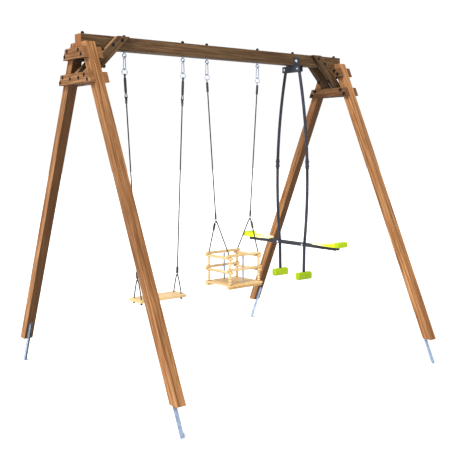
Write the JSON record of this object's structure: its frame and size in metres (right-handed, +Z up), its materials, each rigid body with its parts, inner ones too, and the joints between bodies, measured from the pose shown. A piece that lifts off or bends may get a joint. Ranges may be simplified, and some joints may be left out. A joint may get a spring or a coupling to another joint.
{
  "type": "timber swing set with baby swing",
  "caption": "Free-standing timber A-frame with a board swing, a rope-hung baby swing with bead corners, and a two-seat glider.",
  "frame": {"origin": "under the middle of the frame, on the level of the ground anchors' tips", "axes": "+Z up, +X along the top beam towards the glider, +Y across the frame, the way the swings travel"},
  "size_m": [2.573, 2.193, 2.476],
  "materials": {
    "stained_timber": "stained, satin, knotty grain",
    "dark_timber": "dark stained, satin",
    "galvanised_steel": "hot-dip galvanised",
    "black_steel": "black coated",
    "zinc_steel": "zinc plated",
    "bright_steel": "bright zinc plated",
    "rope_sleeve": "matt shrink sleeve",
    "rope": "laid polypropylene rope",
    "pale_pine": "clear lacquered pine",
    "webbing": "woven strap",
    "powder_coat": "powder coated, satin",
    "lime_plastic": "moulded, satin"
  },
  "bodies": {
    "swing_frame": {"top_beam": "dark_timber", "leg_front_left": "stained_timber", "leg_front_right": "stained_timber", "leg_rear_left": "stained_timber", "leg_rear_right": "stained_timber", "upper_crosspieces_left": "stained_timber", "upper_crosspieces_right": "stained_timber", "lower_crosspieces_left": "stained_timber", "lower_crosspieces_right": "stained_timber", "brace_front_left": "dark_timber", "brace_front_right": "dark_timber", "brace_rear_left": "dark_timber", "brace_rear_right": "dark_timber", "ground_anchors_left": "galvanised_steel", "ground_anchors_right": "galvanised_steel", "frame_bolts": "black_steel", "frame_cap_nuts": "black_steel", "eye_bolts": "zinc_steel", "clamp_plates": "black_steel", "glider_hanger": "powder_coat", "glider_hanger_bolts": "bright_steel"},
    "board_swing": {"board_swing_carabiners": "zinc_steel", "board_swing_rings": "zinc_steel", "board_swing_sleeves": "rope_sleeve", "board_swing_adjusters": "rope_sleeve", "board_swing_loops": "rope", "board_swing_rope_left": "rope", "board_swing_rope_right": "rope", "board_swing_v_rope_left": "rope", "board_swing_v_rope_right": "rope", "board_swing_seat": "pale_pine", "board_swing_knots": "rope"},
    "baby_swing": {"baby_swing_carabiners": "zinc_steel", "baby_swing_rings": "zinc_steel", "baby_swing_sleeves": "rope_sleeve", "baby_swing_rope_left": "rope", "baby_swing_rope_right": "rope", "baby_swing_v_rope_left": "rope", "baby_swing_v_rope_right": "rope", "baby_swing_base_battens": "pale_pine", "baby_swing_base_slats": "pale_pine", "baby_swing_side_rails": "pale_pine", "baby_swing_cross_rails": "pale_pine", "baby_swing_beads": "pale_pine", "baby_swing_back_strap": "webbing", "baby_swing_knots": "rope"},
    "baby_front_bar": {"baby_swing_front_rail": "pale_pine", "baby_swing_crotch_strap": "webbing"},
    "glider_front_arm": {"glider_arm_front": "powder_coat", "glider_footrest_front": "lime_plastic"},
    "glider_rear_arm": {"glider_arm_rear": "powder_coat", "glider_footrest_rear": "lime_plastic"},
    "glider_seat": {"glider_seat_beam": "powder_coat", "glider_seats": "lime_plastic", "glider_bolts": "bright_steel"},
    "board_swing_left_gate": {"board_swing_gate_left": "zinc_steel"},
    "board_swing_right_gate": {"board_swing_gate_right": "zinc_steel"},
    "baby_swing_left_gate": {"baby_swing_gate_left": "zinc_steel"},
    "baby_swing_right_gate": {"baby_swing_gate_right": "zinc_steel"}
  },
  "joints": [
    {"name": "board_swing_hinge", "type": "hinge", "parent": "swing_frame", "child": "board_swing", "pos_m": [-0.64, 0, 2.321], "axis": [1, 0, 0], "range_deg": [-60, 60]},
    {"name": "baby_swing_hinge", "type": "hinge", "parent": "swing_frame", "child": "baby_swing", "pos_m": [0.0835, 0, 2.321], "axis": [1, 0, 0], "range_deg": [-45, 45]},
    {"name": "glider_front_arm_hinge", "type": "hinge", "parent": "swing_frame", "child": "glider_front_arm", "pos_m": [0.72, -0.077, 2.333], "axis": [1, 0, 0], "range_deg": [-15, 15]},
    {"name": "glider_rear_arm_hinge", "type": "hinge", "parent": "swing_frame", "child": "glider_rear_arm", "pos_m": [0.72, 0.077, 2.333], "axis": [1, 0, 0], "range_deg": [-15, 15]},
    {"name": "glider_seat_hinge", "type": "hinge", "parent": "glider_front_arm", "child": "glider_seat", "pos_m": [0.72, -0.148, 0.892], "axis": [1, 0, 0], "range_deg": [-7.9, 7.9]},
    {"name": "baby_front_bar_slide", "type": "slide", "parent": "baby_swing", "child": "baby_front_bar", "axis": [0, 0.4176, 0.9086], "range_m": [0, 0.08]},
    {"name": "board_swing_left_gate_hinge", "type": "hinge", "parent": "board_swing", "child": "board_swing_left_gate", "pos_m": [-0.889, 0.01461, 2.2597], "axis": [1, 0, 0], "range_deg": [0, 16], "stiffness_Nm_per_rad": 0.05, "springref_deg": -17.19},
    {"name": "board_swing_right_gate_hinge", "type": "hinge", "parent": "board_swing", "child": "board_swing_right_gate", "pos_m": [-0.391, 0.01461, 2.2597], "axis": [1, 0, 0], "range_deg": [0, 16], "stiffness_Nm_per_rad": 0.05, "springref_deg": -17.19},
    {"name": "baby_swing_left_gate_hinge", "type": "hinge", "parent": "baby_swing", "child": "baby_swing_left_gate", "pos_m": [-0.169, 0.01461, 2.2597], "axis": [1, 0, 0], "range_deg": [0, 16], "stiffness_Nm_per_rad": 0.05, "springref_deg": -17.19},
    {"name": "baby_swing_right_gate_hinge", "type": "hinge", "parent": "baby_swing", "child": "baby_swing_right_gate", "pos_m": [0.336, 0.01461, 2.2597], "axis": [1, 0, 0], "range_deg": [0, 16], "stiffness_Nm_per_rad": 0.05, "springref_deg": -17.19}
  ],
  "couplings": [
    {"joint": "glider_rear_arm_hinge", "follows": "glider_front_arm_hinge", "ratio": 1},
    {"joint": "glider_seat_hinge", "follows": "glider_front_arm_hinge", "ratio": -0.525}
  ]
}
